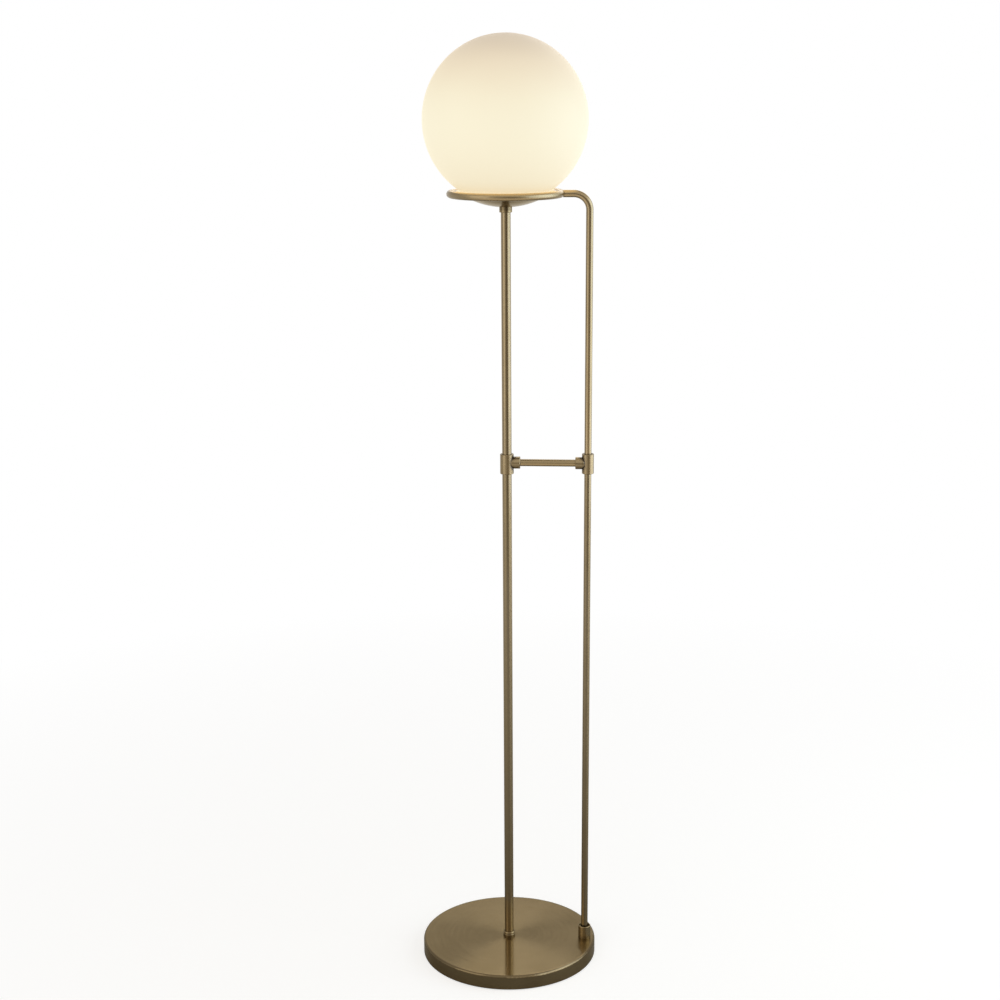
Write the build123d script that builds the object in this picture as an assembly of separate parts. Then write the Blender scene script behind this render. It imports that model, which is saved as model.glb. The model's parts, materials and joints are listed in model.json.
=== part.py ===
from build123d import *
import os
from math import atan2, cos, pi, radians, sin, sqrt

os.makedirs("parts", exist_ok=True)

# Globe floor lamp. Millimetres, +Z up. The origin is on the floor, on the main pole's axis.
# +X points to the side rod, +Y to the back of the lamp, where the cord inlet is.

# Glass globe
globe_radius = 125.0
globe_wall = 2.5
globe_height = 1370.0      # of its centre above the floor
mouth_margin = 6.0         # from the opening in the bottom to the seat gasket

# Base
base_radius = 145.0
base_height = 25.5         # of its top face above the floor
cover_wall = 1.2
cover_edge = 4.0           # radius of the rounded top edge
cover_lift = 1.0           # the cover's lower edge stands this far off the floor
pad_thickness = 3.0
pad_inset = 1.5            # from the pad's edge to the cover's wall
weight_gap = 0.4           # from the weight's edge to the cover's wall
weight_plate = 10.0
weight_rim = 20.0          # width of the thick rim under the plate

# Poles and rods
pole_radius = 7.5
pole_wall = 1.0
insert_length = 15.0
rod_radius = 5.6
side_inset = 17.5          # from the base's edge to the side rod's axis
level_length = 13.5        # of the side rod's level end, from the ring's outside to the bend

# Tees and the bar between them
tee_height = 846.0         # of the bar's axis above the floor
sleeve_length = 31.5
main_sleeve_wall = 3.3
side_sleeve_wall = 3.8
branch_wall = 4.0
branch_length = 10.2       # beyond the sleeve's side
branch_back = 9.4          # from the sleeve's axis to the middle of the branch's round back
main_branch_rise = 2.0     # of the bar above the middle of the main tee's sleeve
side_branch_rise = 0.5     # of the bar above the middle of the side tee's sleeve
bar_seat = 8.0             # how deep the bar stands in each branch
main_web = 8.0             # thickness left between the two pole bores
side_web = 6.0
tee_edge = 0.5

# Foot collar, side socket and top collar
collar_wall = 2.5
collar_band = 4.0
collar_bead = 4.0
collar_groove = 0.7
collar_floor = 2.0
socket_wall = 4.7
socket_length = 22.0
socket_floor = 4.0
socket_lip = 1.8           # thickness of the lip round the recess
socket_recess = 4.0
socket_edge = 0.8
top_collar_wall = 2.25
top_collar_length = 8.5
top_collar_ceiling = 2.0
top_collar_edge = 0.6

# Ring and dish
ring_radius = 84.2         # of the rod's centre line
lip_radius = 3.0           # of the dish's rolled lip, at the middle of its wall
lip_to_ring = 8.5          # degrees below level, from the lip's centre to the ring's rod
braze_depth = 0.15         # how far the lip is let in to the ring
cope_reach = 2.8           # how far the side rod's hollowed end reaches over the ring
dish_wall = 1.2
dish_flat_margin = 3.0     # of the flat seat, beyond the washer on it
gasket_margin = 5.2        # from the lip's centre to the seat gasket's outer edge
gasket_width = 14.0
glass_play = 0.3           # between the gasket and the glass
gasket_thickness = 2.0

# Threads and fasteners
nipple_radius = 5.0
nipple_bore = 3.6
nipple_grip = 12.0         # thread held in each insert
thread_gap = 0.05
slip_gap = 0.1
washer_radius = 11.0
washer_thickness = 1.2
nut_flats = 14.0
nut_height = 4.0
nut_tail = 2.0             # thread standing out of the foot nut
stud_radius = 2.5
rod_tap = 8.0              # depth of the tapped holes in rods and bar
web_tap = 4.0              # depth of the tapped holes for the bar's studs in the tees
ring_tap = 7.0
screw_tap = 12.0           # depth of the tapped hole in the side rod's foot
screw_head_radius = 4.5
screw_head_height = 4.0
screw_socket_flats = 4.0
screw_socket_depth = 2.2
screw_washer_radius = 7.0
screw_pocket_gap = 1.0

# Cord inlet in the back of the base
bush_neck = 4.5
bush_flange = 5.5
bush_bore = 3.5
bush_proud = 1.6           # outer flange, beyond the cover
bush_inner = 3.0           # inner flange, behind the cover's wall
bush_edge = 0.5
cord_slot_gap = 1.5        # between the inner flange and the slot in the weight's rim

# Lampholder, heights counted from its foot on the dish nut
holder_foot_radius = 14.0
holder_radius = 18.5
holder_cone = 7.0
holder_floor = 4.0
holder_wall = 2.0
holder_ledge = 10.0
holder_ledge_width = 2.5
holder_cap_length = 18.0
shell_step = 1.0           # the shell is this much wider than the cap
shell_play = 1.1           # from the bulb's screw shell to the holder's bore
shell_length = 36.0
shell_edge = 1.0
contact_thickness = 0.5
contact_width = 5.0
centre_leaf_length = 12.0
centre_dome_radius = 2.5
centre_dome_height = 1.7
side_leaf_foot = 3.4
side_leaf_height = 10.0
terminal_radius = 1.7
terminal_length = 6.0
terminal_offset = 10.0

# Bulb, heights counted from its tip
bulb_play = 0.3            # between the bulb's tip and the centre contact
tip_radius = 5.0
tip_height = 2.0
cone_top = 6.0
screw_shell_radius = 13.1
screw_shell_wall = 0.5
screw_shell_top = 27.0
plug_length = 7.0          # of the housing's plug in the screw shell
plug_depth = 2.0           # of the glass cone in the screw shell
neck_step = 0.3            # the neck is this much wider than the screw shell
neck_top = 35.0
housing_radius = 29.0
housing_top = 66.0
housing_wall = 1.6
bulb_top = 108.0
diffuser_bulge = 1.0       # the dome is this much wider than the housing
diffuser_wall = 1.2
board_thickness = 1.6
board_ledge = 3.0
flare_lean = 0.4           # how far the housing's side leans out at its rim, for each mm of rise

quarter_turn = pi / 2

# The bowl follows the globe, its lip leaves it inside the ring, and the ring lies under the lip
bowl_inside = globe_radius + glass_play + gasket_thickness
bowl_outside = bowl_inside + dish_wall
bowl_to_lip = bowl_outside - dish_wall / 2 + lip_radius
lip_to_rod = rod_radius + lip_radius + dish_wall / 2 - braze_depth
lip_circle = ring_radius - lip_to_rod * cos(radians(lip_to_ring))
lip_height = globe_height - sqrt(bowl_to_lip ** 2 - lip_circle ** 2)
ring_height = lip_height - lip_to_rod * sin(radians(lip_to_ring))
ring_outside = ring_radius + rod_radius
gasket_high = lip_circle - gasket_margin
gasket_low = gasket_high - gasket_width
mouth_radius = gasket_low - mouth_margin

# The side rod stands inside the base's edge and bends over all the way to its level end
side_offset = base_radius - side_inset
bend_radius = side_offset - ring_outside - level_length
weight_radius = base_radius - cover_wall - weight_gap
pole_bore = pole_radius - pole_wall
main_sleeve_radius = pole_radius + main_sleeve_wall
side_sleeve_radius = rod_radius + side_sleeve_wall
branch_radius = rod_radius + branch_wall
collar_radius = pole_radius + collar_wall
socket_radius = rod_radius + socket_wall
top_collar_radius = pole_radius + top_collar_wall
main_reach = main_sleeve_radius + branch_length
side_reach = side_sleeve_radius + branch_length
dish_flat = washer_radius + dish_flat_margin
cord_slot = 2 * (bush_flange + cord_slot_gap)
shell_radius = holder_radius + shell_step
shell_bore = screw_shell_radius + shell_play
neck_radius = screw_shell_radius + neck_step
diffuser_radius = housing_radius + diffuser_bulge

# Heights that stack up from the floor
cover_underside = base_height - cover_wall
plate_underside = cover_underside - weight_plate
bush_height = (pad_thickness + plate_underside) / 2
pole_foot = base_height + collar_floor
rod_foot = base_height + socket_floor
main_joint = tee_height - main_branch_rise
side_joint = tee_height - side_branch_rise
dish_underside = globe_height - sqrt(bowl_outside ** 2 - dish_flat ** 2)
dish_floor = dish_underside + dish_wall
pole_top = dish_underside - top_collar_ceiling
holder_foot = dish_floor + washer_thickness + nut_height
shell_foot = holder_foot + holder_cap_length
bulb_tip = shell_foot + contact_thickness + centre_dome_height + bulb_play


def rod(radius, low, high):
    """A round bar on the Z axis from one height to another."""
    middle = (Align.CENTER, Align.CENTER, Align.MIN)
    return Pos(0, 0, low) * Cylinder(radius, high - low, align=middle)


def tube(radius, bore, low, high):
    return rod(radius, low, high) - rod(bore, low, high)


def rod_along_x(radius, start, end, height):
    return Pos(0, 0, height) * Rot(0, 90, 0) * rod(radius, start, end)


def rod_along_y(radius, start, end, height):
    return Pos(0, 0, height) * Rot(-90, 0, 0) * rod(radius, start, end)


def turned(*outline):
    """A solid of revolution about Z from the lines and arcs of its half section."""
    return revolve(Plane.XZ * make_face(outline), Axis.Z)


def polygon_turned(*corners):
    return revolve(Plane.XZ * make_face(Polyline(*corners, close=True)), Axis.Z)


def at_side(shape):
    return Pos(side_offset, 0, 0) * shape


def on_sphere(radius, from_axis):
    """The point of a sphere round the globe's centre, below it, at a distance from the axis."""
    return (from_axis, globe_height - sqrt(radius ** 2 - from_axis ** 2))


def away(centre, length, angle):
    return (centre[0] + length * cos(angle), centre[1] + length * sin(angle))


def arc(centre, radius, start, end):
    """An arc of a half section between two angles, which may run either way."""
    middle = away(centre, radius, (start + end) / 2)
    return ThreePointArc(away(centre, radius, start), middle, away(centre, radius, end))


# The base

def make_base_pad():
    return rod(base_radius - cover_wall - pad_inset, 0, pad_thickness)


def make_base_weight():
    plate = rod(weight_radius, plate_underside, cover_underside)
    rim = tube(weight_radius, weight_radius - weight_rim, pad_thickness, plate_underside)
    weight = plate + rim
    weight = chamfer(weight.edges().group_by(Axis.Z)[-1], cover_edge)
    weight -= rod(nipple_radius + slip_gap, plate_underside, cover_underside)
    weight -= at_side(rod(stud_radius + slip_gap, pad_thickness, cover_underside))
    weight -= at_side(rod(screw_washer_radius + screw_pocket_gap, pad_thickness, plate_underside))
    slot_height = plate_underside - pad_thickness
    slot = Box(cord_slot, weight_radius, slot_height, align=(Align.CENTER, Align.MIN, Align.MIN))
    return weight - Pos(0, 0, pad_thickness) * slot


def make_base_cover():
    inside = base_radius - cover_wall
    shoulder = base_radius - cover_edge
    bend = base_height - cover_edge
    hole = nipple_radius + slip_gap
    cover = turned(
        Line((base_radius, cover_lift), (base_radius, bend)),
        arc((shoulder, bend), cover_edge, 0, quarter_turn),
        Line((shoulder, base_height), (hole, base_height)),
        Line((hole, base_height), (hole, cover_underside)),
        Line((hole, cover_underside), (shoulder, cover_underside)),
        arc((shoulder, bend), cover_edge - cover_wall, quarter_turn, 0),
        Line((inside, bend), (inside, cover_lift)),
        Line((inside, cover_lift), (base_radius, cover_lift)),
    )
    cover -= at_side(rod(stud_radius + slip_gap, cover_underside, base_height))
    return cover - rod_along_y(bush_neck, inside - bush_inner, base_radius + bush_proud, bush_height)


def make_cord_bush():
    inside = base_radius - cover_wall
    start = inside - bush_inner
    end = base_radius + bush_proud
    bush = rod_along_y(bush_flange, start, end, bush_height)
    bush = fillet(bush.edges().filter_by(GeomType.CIRCLE), bush_edge)
    neck = rod_along_y(bush_neck, start, end, bush_height)
    wall = tube(base_radius, inside, 0, base_height)
    return bush - (wall - neck) - rod_along_y(bush_bore, start, end, bush_height)


def make_nut(low):
    outline = RegularPolygon(nut_flats / 2, 6, major_radius=False)
    nut = extrude(Pos(0, 0, low) * outline, nut_height)
    return nut - rod(nipple_radius + thread_gap, low, low + nut_height)


def make_washer(low):
    return tube(washer_radius, nipple_radius + slip_gap, low, low + washer_thickness)


def make_nipple(low, high):
    return tube(nipple_radius, nipple_bore, low, high)


def make_foot_collar():
    band_top = base_height + collar_band
    top = band_top + collar_bead
    hole = pole_radius + slip_gap
    waist = collar_radius - collar_groove
    collar = polygon_turned(
        (nipple_radius + slip_gap, base_height),
        (collar_radius, base_height),
        (collar_radius, band_top - collar_groove),
        (waist, band_top),
        (collar_radius, band_top + collar_groove),
        (collar_radius, top),
        (hole, top),
        (hole, pole_foot),
        (nipple_radius + slip_gap, pole_foot),
    )
    return fillet(collar.edges().filter_by(GeomType.CIRCLE).group_by(Axis.Z)[-1][-1], collar_groove)


def make_side_socket():
    top = base_height + socket_length
    socket = rod(socket_radius, base_height, top)
    socket = fillet(socket.edges().group_by(Axis.Z)[-1], socket_edge)
    socket -= rod(socket_radius - socket_lip, top - socket_recess, top)
    socket -= rod(rod_radius + slip_gap, rod_foot, top)
    return at_side(socket - rod(stud_radius + slip_gap, base_height, rod_foot))


def make_side_screw_washer():
    low = plate_underside - washer_thickness
    return at_side(tube(screw_washer_radius, stud_radius + slip_gap, low, plate_underside))


def make_side_screw():
    seat = plate_underside - washer_thickness
    bottom = seat - screw_head_height
    screw = rod(screw_head_radius, bottom, seat) + rod(stud_radius, seat, rod_foot + screw_tap)
    key = RegularPolygon(screw_socket_flats / 2, 6, major_radius=False)
    return at_side(screw - extrude(Pos(0, 0, bottom) * key, screw_socket_depth))


# The poles, rods and tees

def make_pole_insert(low):
    return tube(pole_bore, nipple_radius + thread_gap, low, low + insert_length)


def make_branch(reach):
    """A round bar along +X whose back is half a ball."""
    branch = turned(
        arc((0, branch_back), branch_radius, -quarter_turn, 0),
        Line((branch_radius, branch_back), (branch_radius, reach)),
        Line((branch_radius, reach), (0, reach)),
        Line((0, reach), (0, branch_back - branch_radius)),
    )
    return Rot(0, 90, 0) * chamfer(branch.edges().group_by(Axis.Z)[-1], tee_edge)


def make_tee(sleeve_radius, bore, web, centre_hole, reach, rise):
    """A sleeve round the origin, whose branch along +X stands above its middle by the rise."""
    half = sleeve_length / 2
    sleeve = rod(sleeve_radius, -half, half)
    sleeve = chamfer(sleeve.edges().filter_by(GeomType.CIRCLE), tee_edge)
    tee = sleeve + Pos(0, 0, rise) * make_branch(reach)
    tee -= rod(bore + slip_gap, web / 2, half) + rod(bore + slip_gap, -half, -web / 2)
    tee -= rod(centre_hole + thread_gap, -half, half)
    tee -= rod_along_x(rod_radius + slip_gap, reach - bar_seat, reach, rise)
    return tee - rod_along_x(stud_radius + thread_gap, reach - bar_seat - web_tap, reach, rise)


def make_main_tee():
    sizes = (main_sleeve_radius, pole_radius, main_web, nipple_radius, main_reach)
    return Pos(0, 0, main_joint) * make_tee(*sizes, main_branch_rise)


def make_side_tee():
    sizes = (side_sleeve_radius, rod_radius, side_web, stud_radius, side_reach)
    return Pos(side_offset, 0, side_joint) * Rot(0, 0, 180) * make_tee(*sizes, side_branch_rise)


def make_cross_bar():
    start = main_reach - bar_seat
    end = side_offset - side_reach + bar_seat
    hole = stud_radius + thread_gap
    bar = rod_along_x(rod_radius, start, end, tee_height)
    bar -= rod_along_x(hole, start, start + rod_tap, tee_height)
    return bar - rod_along_x(hole, end - rod_tap, end, tee_height)


def make_cross_bar_studs():
    """Two studs, one in each end of the bar and the branch that it stands in."""
    start = main_reach - bar_seat
    end = side_offset - side_reach + bar_seat
    main_stud = rod_along_x(stud_radius, start - web_tap, start + rod_tap, tee_height)
    side_stud = rod_along_x(stud_radius, end - rod_tap, end + web_tap, tee_height)
    return [main_stud, side_stud]


def make_side_rod_lower():
    high = side_joint - side_web / 2
    hole = stud_radius + thread_gap
    lower = rod(rod_radius, rod_foot, high)
    lower -= rod(hole, rod_foot, rod_foot + screw_tap) + rod(hole, high - rod_tap, high)
    return at_side(lower)


def make_side_rod_upper():
    """A rod that rises from the side tee and bends over to the ring, which its end fits."""
    low = side_joint + side_web / 2
    bend_start = ring_height - bend_radius
    end = ring_outside - cope_reach
    bend_centre = side_offset - bend_radius
    hole = stud_radius + thread_gap
    section = Pos(side_offset, 0, bend_start) * Circle(rod_radius)
    bend_axis = Axis((bend_centre, 0, bend_start), (0, -1, 0))
    level = rod_along_x(rod_radius, end, bend_centre, ring_height)
    upper = at_side(rod(rod_radius, low, bend_start)) + revolve(section, bend_axis, 90) + level
    upper -= Pos(0, 0, ring_height) * Torus(ring_radius, rod_radius)
    upper -= at_side(rod(hole, low, low + rod_tap))
    return upper - rod_along_x(hole, end, ring_outside + rod_tap, ring_height)


def make_ring():
    ring = Pos(0, 0, ring_height) * Torus(ring_radius, rod_radius)
    return ring - rod_along_x(stud_radius, ring_outside - ring_tap, ring_outside, ring_height)


def make_ring_stud():
    return rod_along_x(stud_radius, ring_outside - ring_tap, ring_outside + rod_tap, ring_height)


# The dish and the globe

def make_top_collar():
    low = dish_underside - top_collar_length
    collar = rod(top_collar_radius, low, dish_underside)
    collar = fillet(collar.edges().group_by(Axis.Z)[0], top_collar_edge)
    collar -= rod(pole_radius + slip_gap, low, pole_top)
    return collar - rod(nipple_radius + slip_gap, pole_top, dish_underside)


def make_dish():
    """A shallow bowl round the globe, with a flat seat and a lip rolled over on to the ring."""
    globe = (0, globe_height)
    lip = (lip_circle, lip_height)
    to_globe = atan2(globe_height - lip[1], -lip[0])
    to_ring = atan2(ring_height - lip[1], ring_radius - lip[0])
    under, over = lip_radius - dish_wall / 2, lip_radius + dish_wall / 2
    bowl_end = atan2(lip[1] - globe_height, lip[0])
    flat_out = atan2(dish_underside - globe_height, dish_flat)
    inner_flat = sqrt(bowl_inside ** 2 - (globe_height - dish_floor) ** 2)
    flat_in = atan2(dish_floor - globe_height, inner_flat)
    hole = nipple_radius + slip_gap
    dish = turned(
        Line((hole, dish_underside), (dish_flat, dish_underside)),
        arc(globe, bowl_outside, flat_out, bowl_end),
        arc(lip, under, to_globe, to_ring),
        Line(away(lip, under, to_ring), away(lip, over, to_ring)),
        arc(lip, over, to_ring, to_globe),
        arc(globe, bowl_inside, bowl_end, flat_in),
        Line((inner_flat, dish_floor), (hole, dish_floor)),
        Line((hole, dish_floor), (hole, dish_underside)),
    )
    return dish - Pos(0, 0, ring_height) * Torus(ring_radius, rod_radius)


def make_seat_gasket():
    globe = (0, globe_height)
    inside = bowl_inside - gasket_thickness
    low, high = on_sphere(bowl_inside, gasket_low), on_sphere(bowl_inside, gasket_high)
    start = atan2(low[1] - globe_height, low[0])
    end = atan2(high[1] - globe_height, high[0])
    return turned(
        arc(globe, bowl_inside, start, end),
        Line(high, away(globe, inside, end)),
        arc(globe, inside, end, start),
        Line(away(globe, inside, start), low),
    )


def make_globe_shade():
    """A glass sphere with an opening in the bottom, whose edge is rounded over the wall."""
    globe = (0, globe_height)
    inside = globe_radius - globe_wall
    middle = globe_radius - globe_wall / 2
    edge = on_sphere(middle, mouth_radius)
    mouth = atan2(edge[1] - globe_height, edge[0])
    tip = away(edge, globe_wall / 2, mouth - quarter_turn)
    return turned(
        arc(globe, globe_radius, quarter_turn, mouth),
        ThreePointArc(away(globe, globe_radius, mouth), tip, away(globe, inside, mouth)),
        arc(globe, inside, mouth, quarter_turn),
        Line((0, globe_height + inside), (0, globe_height + globe_radius)),
    )


# The lampholder

def make_holder_cap():
    hole = nipple_radius + thread_gap
    pocket = holder_radius - holder_wall
    floor = holder_foot + holder_floor
    ledge = holder_foot + holder_ledge
    return polygon_turned(
        (hole, holder_foot),
        (holder_foot_radius, holder_foot),
        (holder_radius, holder_foot + holder_cone),
        (holder_radius, shell_foot),
        (pocket, shell_foot),
        (pocket, ledge),
        (pocket - holder_ledge_width, ledge),
        (pocket - holder_ledge_width, floor),
        (hole, floor),
    )


def make_holder_insert():
    ledge = holder_foot + holder_ledge
    insert = rod(holder_radius - holder_wall - slip_gap, ledge, shell_foot)
    for side in (-1, 1):
        hole = rod(terminal_radius, ledge, ledge + terminal_length)
        insert -= Pos(side * terminal_offset, 0, 0) * hole
    return insert


def make_terminal_screws():
    """Two screws, let in to the underside of the insert."""
    ledge = holder_foot + holder_ledge
    screw = rod(terminal_radius, ledge, ledge + terminal_length)
    return [Pos(side * terminal_offset, 0, 0) * screw for side in (-1, 1)]


def make_holder_centre_contact():
    top = shell_foot + contact_thickness
    size = (centre_leaf_length, contact_width, contact_thickness)
    leaf = Box(*size, align=(Align.CENTER, Align.CENTER, Align.MIN))
    return Pos(0, 0, shell_foot) * leaf + rod(centre_dome_radius, top, top + centre_dome_height)


def make_holder_side_contact():
    """An angled leaf that stands against the shell's bore."""
    outside = shell_bore - slip_gap
    place = (Align.CENTER, Align.MAX, Align.MIN)
    foot = Box(contact_width, side_leaf_foot, contact_thickness, align=place)
    tongue = Box(contact_width, contact_thickness, side_leaf_height, align=place)
    leaf = Pos(0, sqrt(outside ** 2 - (contact_width / 2) ** 2), shell_foot) * (foot + tongue)
    return leaf


def make_holder_shell():
    high = shell_foot + shell_length
    shell = tube(shell_radius, shell_bore, shell_foot, high)
    return fillet(shell.edges().group_by(Axis.Z)[-1], shell_edge)


# The bulb

def make_bulb_tip():
    return rod(tip_radius, bulb_tip, bulb_tip + tip_height)


def make_bulb_insulator():
    inside = screw_shell_radius - screw_shell_wall
    low = bulb_tip + tip_height
    shoulder = bulb_tip + cone_top
    return polygon_turned(
        (0, low),
        (tip_radius, low),
        (inside, shoulder),
        (inside, shoulder + plug_depth),
        (0, shoulder + plug_depth),
    )


def make_bulb_screw_shell():
    inside = screw_shell_radius - screw_shell_wall
    return tube(screw_shell_radius, inside, bulb_tip + cone_top, bulb_tip + screw_shell_top)


def housing_inside(radius):
    return radius - housing_wall


def make_bulb_housing():
    """A hollow flared housing with a plug below and a ledge for the board above."""
    plug = screw_shell_radius - screw_shell_wall
    foot = bulb_tip + screw_shell_top
    neck = bulb_tip + neck_top
    rim = bulb_tip + housing_top
    ledge = rim - board_ledge
    board = housing_inside(housing_radius)
    leaning = (flare_lean, 1)
    flare_out = Spline((neck_radius, neck), (housing_radius, rim), tangents=((0, 1), leaning))
    flare_in = Spline(
        (board - board_ledge, ledge),
        (housing_inside(neck_radius), neck),
        tangents=((-flare_lean, -1), (0, -1)),
    )
    return turned(
        Line((housing_inside(plug), foot - plug_length), (plug, foot - plug_length)),
        Line((plug, foot - plug_length), (plug, foot)),
        Line((plug, foot), (neck_radius, foot)),
        Line((neck_radius, foot), (neck_radius, neck)),
        flare_out,
        Line((housing_radius, rim), (board, rim)),
        Line((board, rim), (board, ledge)),
        Line((board, ledge), (board - board_ledge, ledge)),
        flare_in,
        Line((housing_inside(neck_radius), neck), (housing_inside(plug), foot)),
        Line((housing_inside(plug), foot), (housing_inside(plug), foot - plug_length)),
    )


def make_bulb_board():
    ledge = bulb_tip + housing_top - board_ledge
    return rod(housing_inside(housing_radius) - slip_gap, ledge, ledge + board_thickness)


def make_bulb_diffuser():
    """A dome that rests on the housing's rim."""
    rim = bulb_tip + housing_top
    centre = (0, bulb_tip + bulb_top - diffuser_radius)
    inside = diffuser_radius - diffuser_wall
    drop = centre[1] - rim
    outer_end = atan2(-drop, sqrt(diffuser_radius ** 2 - drop ** 2))
    inner_end = atan2(-drop, sqrt(inside ** 2 - drop ** 2))
    return turned(
        arc(centre, diffuser_radius, quarter_turn, outer_end),
        Line(away(centre, diffuser_radius, outer_end), away(centre, inside, inner_end)),
        arc(centre, inside, inner_end, quarter_turn),
        Line((0, centre[1] + inside), (0, centre[1] + diffuser_radius)),
    )


# The whole lamp

foot_nut_low = plate_underside - washer_thickness - nut_height
joint_reach = main_web / 2 + nipple_grip

pieces = {
    "base_pad": make_base_pad(),
    "base_weight": make_base_weight(),
    "base_cover": make_base_cover(),
    "cord_bush": make_cord_bush(),
    "foot_nipple": make_nipple(foot_nut_low - nut_tail, pole_foot + nipple_grip),
    "foot_washer": make_washer(plate_underside - washer_thickness),
    "foot_nut": make_nut(foot_nut_low),
    "foot_collar": make_foot_collar(),
    "side_socket": make_side_socket(),
    "side_screw": make_side_screw(),
    "side_screw_washer": make_side_screw_washer(),
    "pole_lower": tube(pole_radius, pole_bore, pole_foot, main_joint - main_web / 2),
    "pole_upper": tube(pole_radius, pole_bore, main_joint + main_web / 2, pole_top),
    "pole_insert_foot": make_pole_insert(pole_foot),
    "pole_insert_below_tee": make_pole_insert(main_joint - main_web / 2 - insert_length),
    "pole_insert_above_tee": make_pole_insert(main_joint + main_web / 2),
    "pole_insert_top": make_pole_insert(pole_top - insert_length),
    "joint_nipple": make_nipple(main_joint - joint_reach, main_joint + joint_reach),
    "main_tee": make_main_tee(),
    "side_tee": make_side_tee(),
    "cross_bar": make_cross_bar(),
    "cross_bar_studs": make_cross_bar_studs(),
    "side_rod_lower": make_side_rod_lower(),
    "side_rod_upper": make_side_rod_upper(),
    "side_rod_stud": at_side(
        rod(stud_radius, side_joint - side_web / 2 - rod_tap, side_joint + side_web / 2 + rod_tap)
    ),
    "ring": make_ring(),
    "ring_stud": make_ring_stud(),
    "top_collar": make_top_collar(),
    "head_nipple": make_nipple(pole_top - nipple_grip, holder_foot + holder_floor),
    "dish": make_dish(),
    "dish_washer": make_washer(dish_floor),
    "dish_nut": make_nut(dish_floor + washer_thickness),
    "seat_gasket": make_seat_gasket(),
    "globe_shade": make_globe_shade(),
    "holder_cap": make_holder_cap(),
    "holder_insert": make_holder_insert(),
    "terminal_screws": make_terminal_screws(),
    "holder_centre_contact": make_holder_centre_contact(),
    "holder_side_contact": make_holder_side_contact(),
    "holder_shell": make_holder_shell(),
    "bulb_tip": make_bulb_tip(),
    "bulb_insulator": make_bulb_insulator(),
    "bulb_screw_shell": make_bulb_screw_shell(),
    "bulb_housing": make_bulb_housing(),
    "bulb_board": make_bulb_board(),
    "bulb_diffuser": make_bulb_diffuser(),
}

for name, shape in pieces.items():
    whole = Compound(children=shape) if isinstance(shape, list) else shape
    export_step(whole, f"parts/{name}.step")
    print(name, round(whole.volume))
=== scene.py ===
# Globe floor lamp, dressed over its frame. Metres, +Z up, +X to the side rod, +Y to the back.

import json

import bpy
import numpy as np
from mathutils import Matrix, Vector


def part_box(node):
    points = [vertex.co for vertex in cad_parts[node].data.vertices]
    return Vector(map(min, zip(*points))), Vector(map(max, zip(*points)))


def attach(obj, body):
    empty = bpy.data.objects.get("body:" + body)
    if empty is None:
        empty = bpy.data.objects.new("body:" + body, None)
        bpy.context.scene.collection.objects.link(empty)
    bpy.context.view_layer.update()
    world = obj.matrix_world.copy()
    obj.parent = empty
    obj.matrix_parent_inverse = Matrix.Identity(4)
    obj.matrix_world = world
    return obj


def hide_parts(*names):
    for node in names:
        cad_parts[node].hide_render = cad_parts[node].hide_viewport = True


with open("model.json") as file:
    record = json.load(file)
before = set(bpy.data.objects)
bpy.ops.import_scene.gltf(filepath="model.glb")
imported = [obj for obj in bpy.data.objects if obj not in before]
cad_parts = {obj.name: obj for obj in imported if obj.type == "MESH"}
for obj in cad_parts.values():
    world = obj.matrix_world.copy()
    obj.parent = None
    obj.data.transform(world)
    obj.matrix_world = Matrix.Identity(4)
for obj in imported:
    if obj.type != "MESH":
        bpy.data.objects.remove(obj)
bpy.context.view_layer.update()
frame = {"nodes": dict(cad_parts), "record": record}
scene = bpy.context.scene
scene.view_settings.view_transform = "Standard"
fullTurn = 2 * np.pi
quarterTurn = np.pi / 2
crisp = 0.0002   # round of an edge that is only just broken
soft = 0.0003    # and of one that shows
print("frame loaded:", len(frame["nodes"]), "nodes")


# Camera: the place and the three angles that line the frame up with the view.
cameraView = {
    "place": (0.1927, -2.7361, 1.4436),
    "turn": -4.279,  # degrees to the right of +Y
    "tilt": 15.814,  # degrees below level
    "roll": -0.350,
    "lens": 63.975,
    "shift": 0.0719,
}


# The camera's axes: ahead from turn and tilt, then right and up turned about it by the roll.
def addCamera():
    turn, tilt, roll = np.radians([cameraView["turn"], cameraView["tilt"], cameraView["roll"]])
    ahead = np.array([np.sin(turn) * np.cos(tilt), np.cos(turn) * np.cos(tilt), -np.sin(tilt)])
    level = np.array([np.cos(turn), -np.sin(turn), 0])
    above = np.cross(level, ahead)
    right = level * np.cos(roll) + above * np.sin(roll)
    up = above * np.cos(roll) - level * np.sin(roll)
    camera = bpy.data.objects.new("viewCamera", bpy.data.cameras.new("viewCamera"))
    camera.data.lens = cameraView["lens"]
    camera.data.shift_y = cameraView["shift"]
    axes = np.stack([right, up, -ahead], axis=1)
    camera.matrix_world = Matrix.Translation(cameraView["place"]) @ Matrix(axes.tolist()).to_4x4()
    scene.collection.objects.link(camera)
    scene.camera = camera


addCamera()
print("camera set")


# Sizes read from the frame: the lowest and highest corner of a node, as arrays.
def reach(node):
    low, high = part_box(node)
    return np.array(low), np.array(high)


# Points on an arc: centre + radius * (cos a, sin a), with a running evenly from start to end.
def arcPoints(centre, radius, start, end, count):
    angle = np.linspace(start, end, count)[:, None]
    return np.array(centre) + radius * np.concatenate([np.cos(angle), np.sin(angle)], axis=1)


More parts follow.
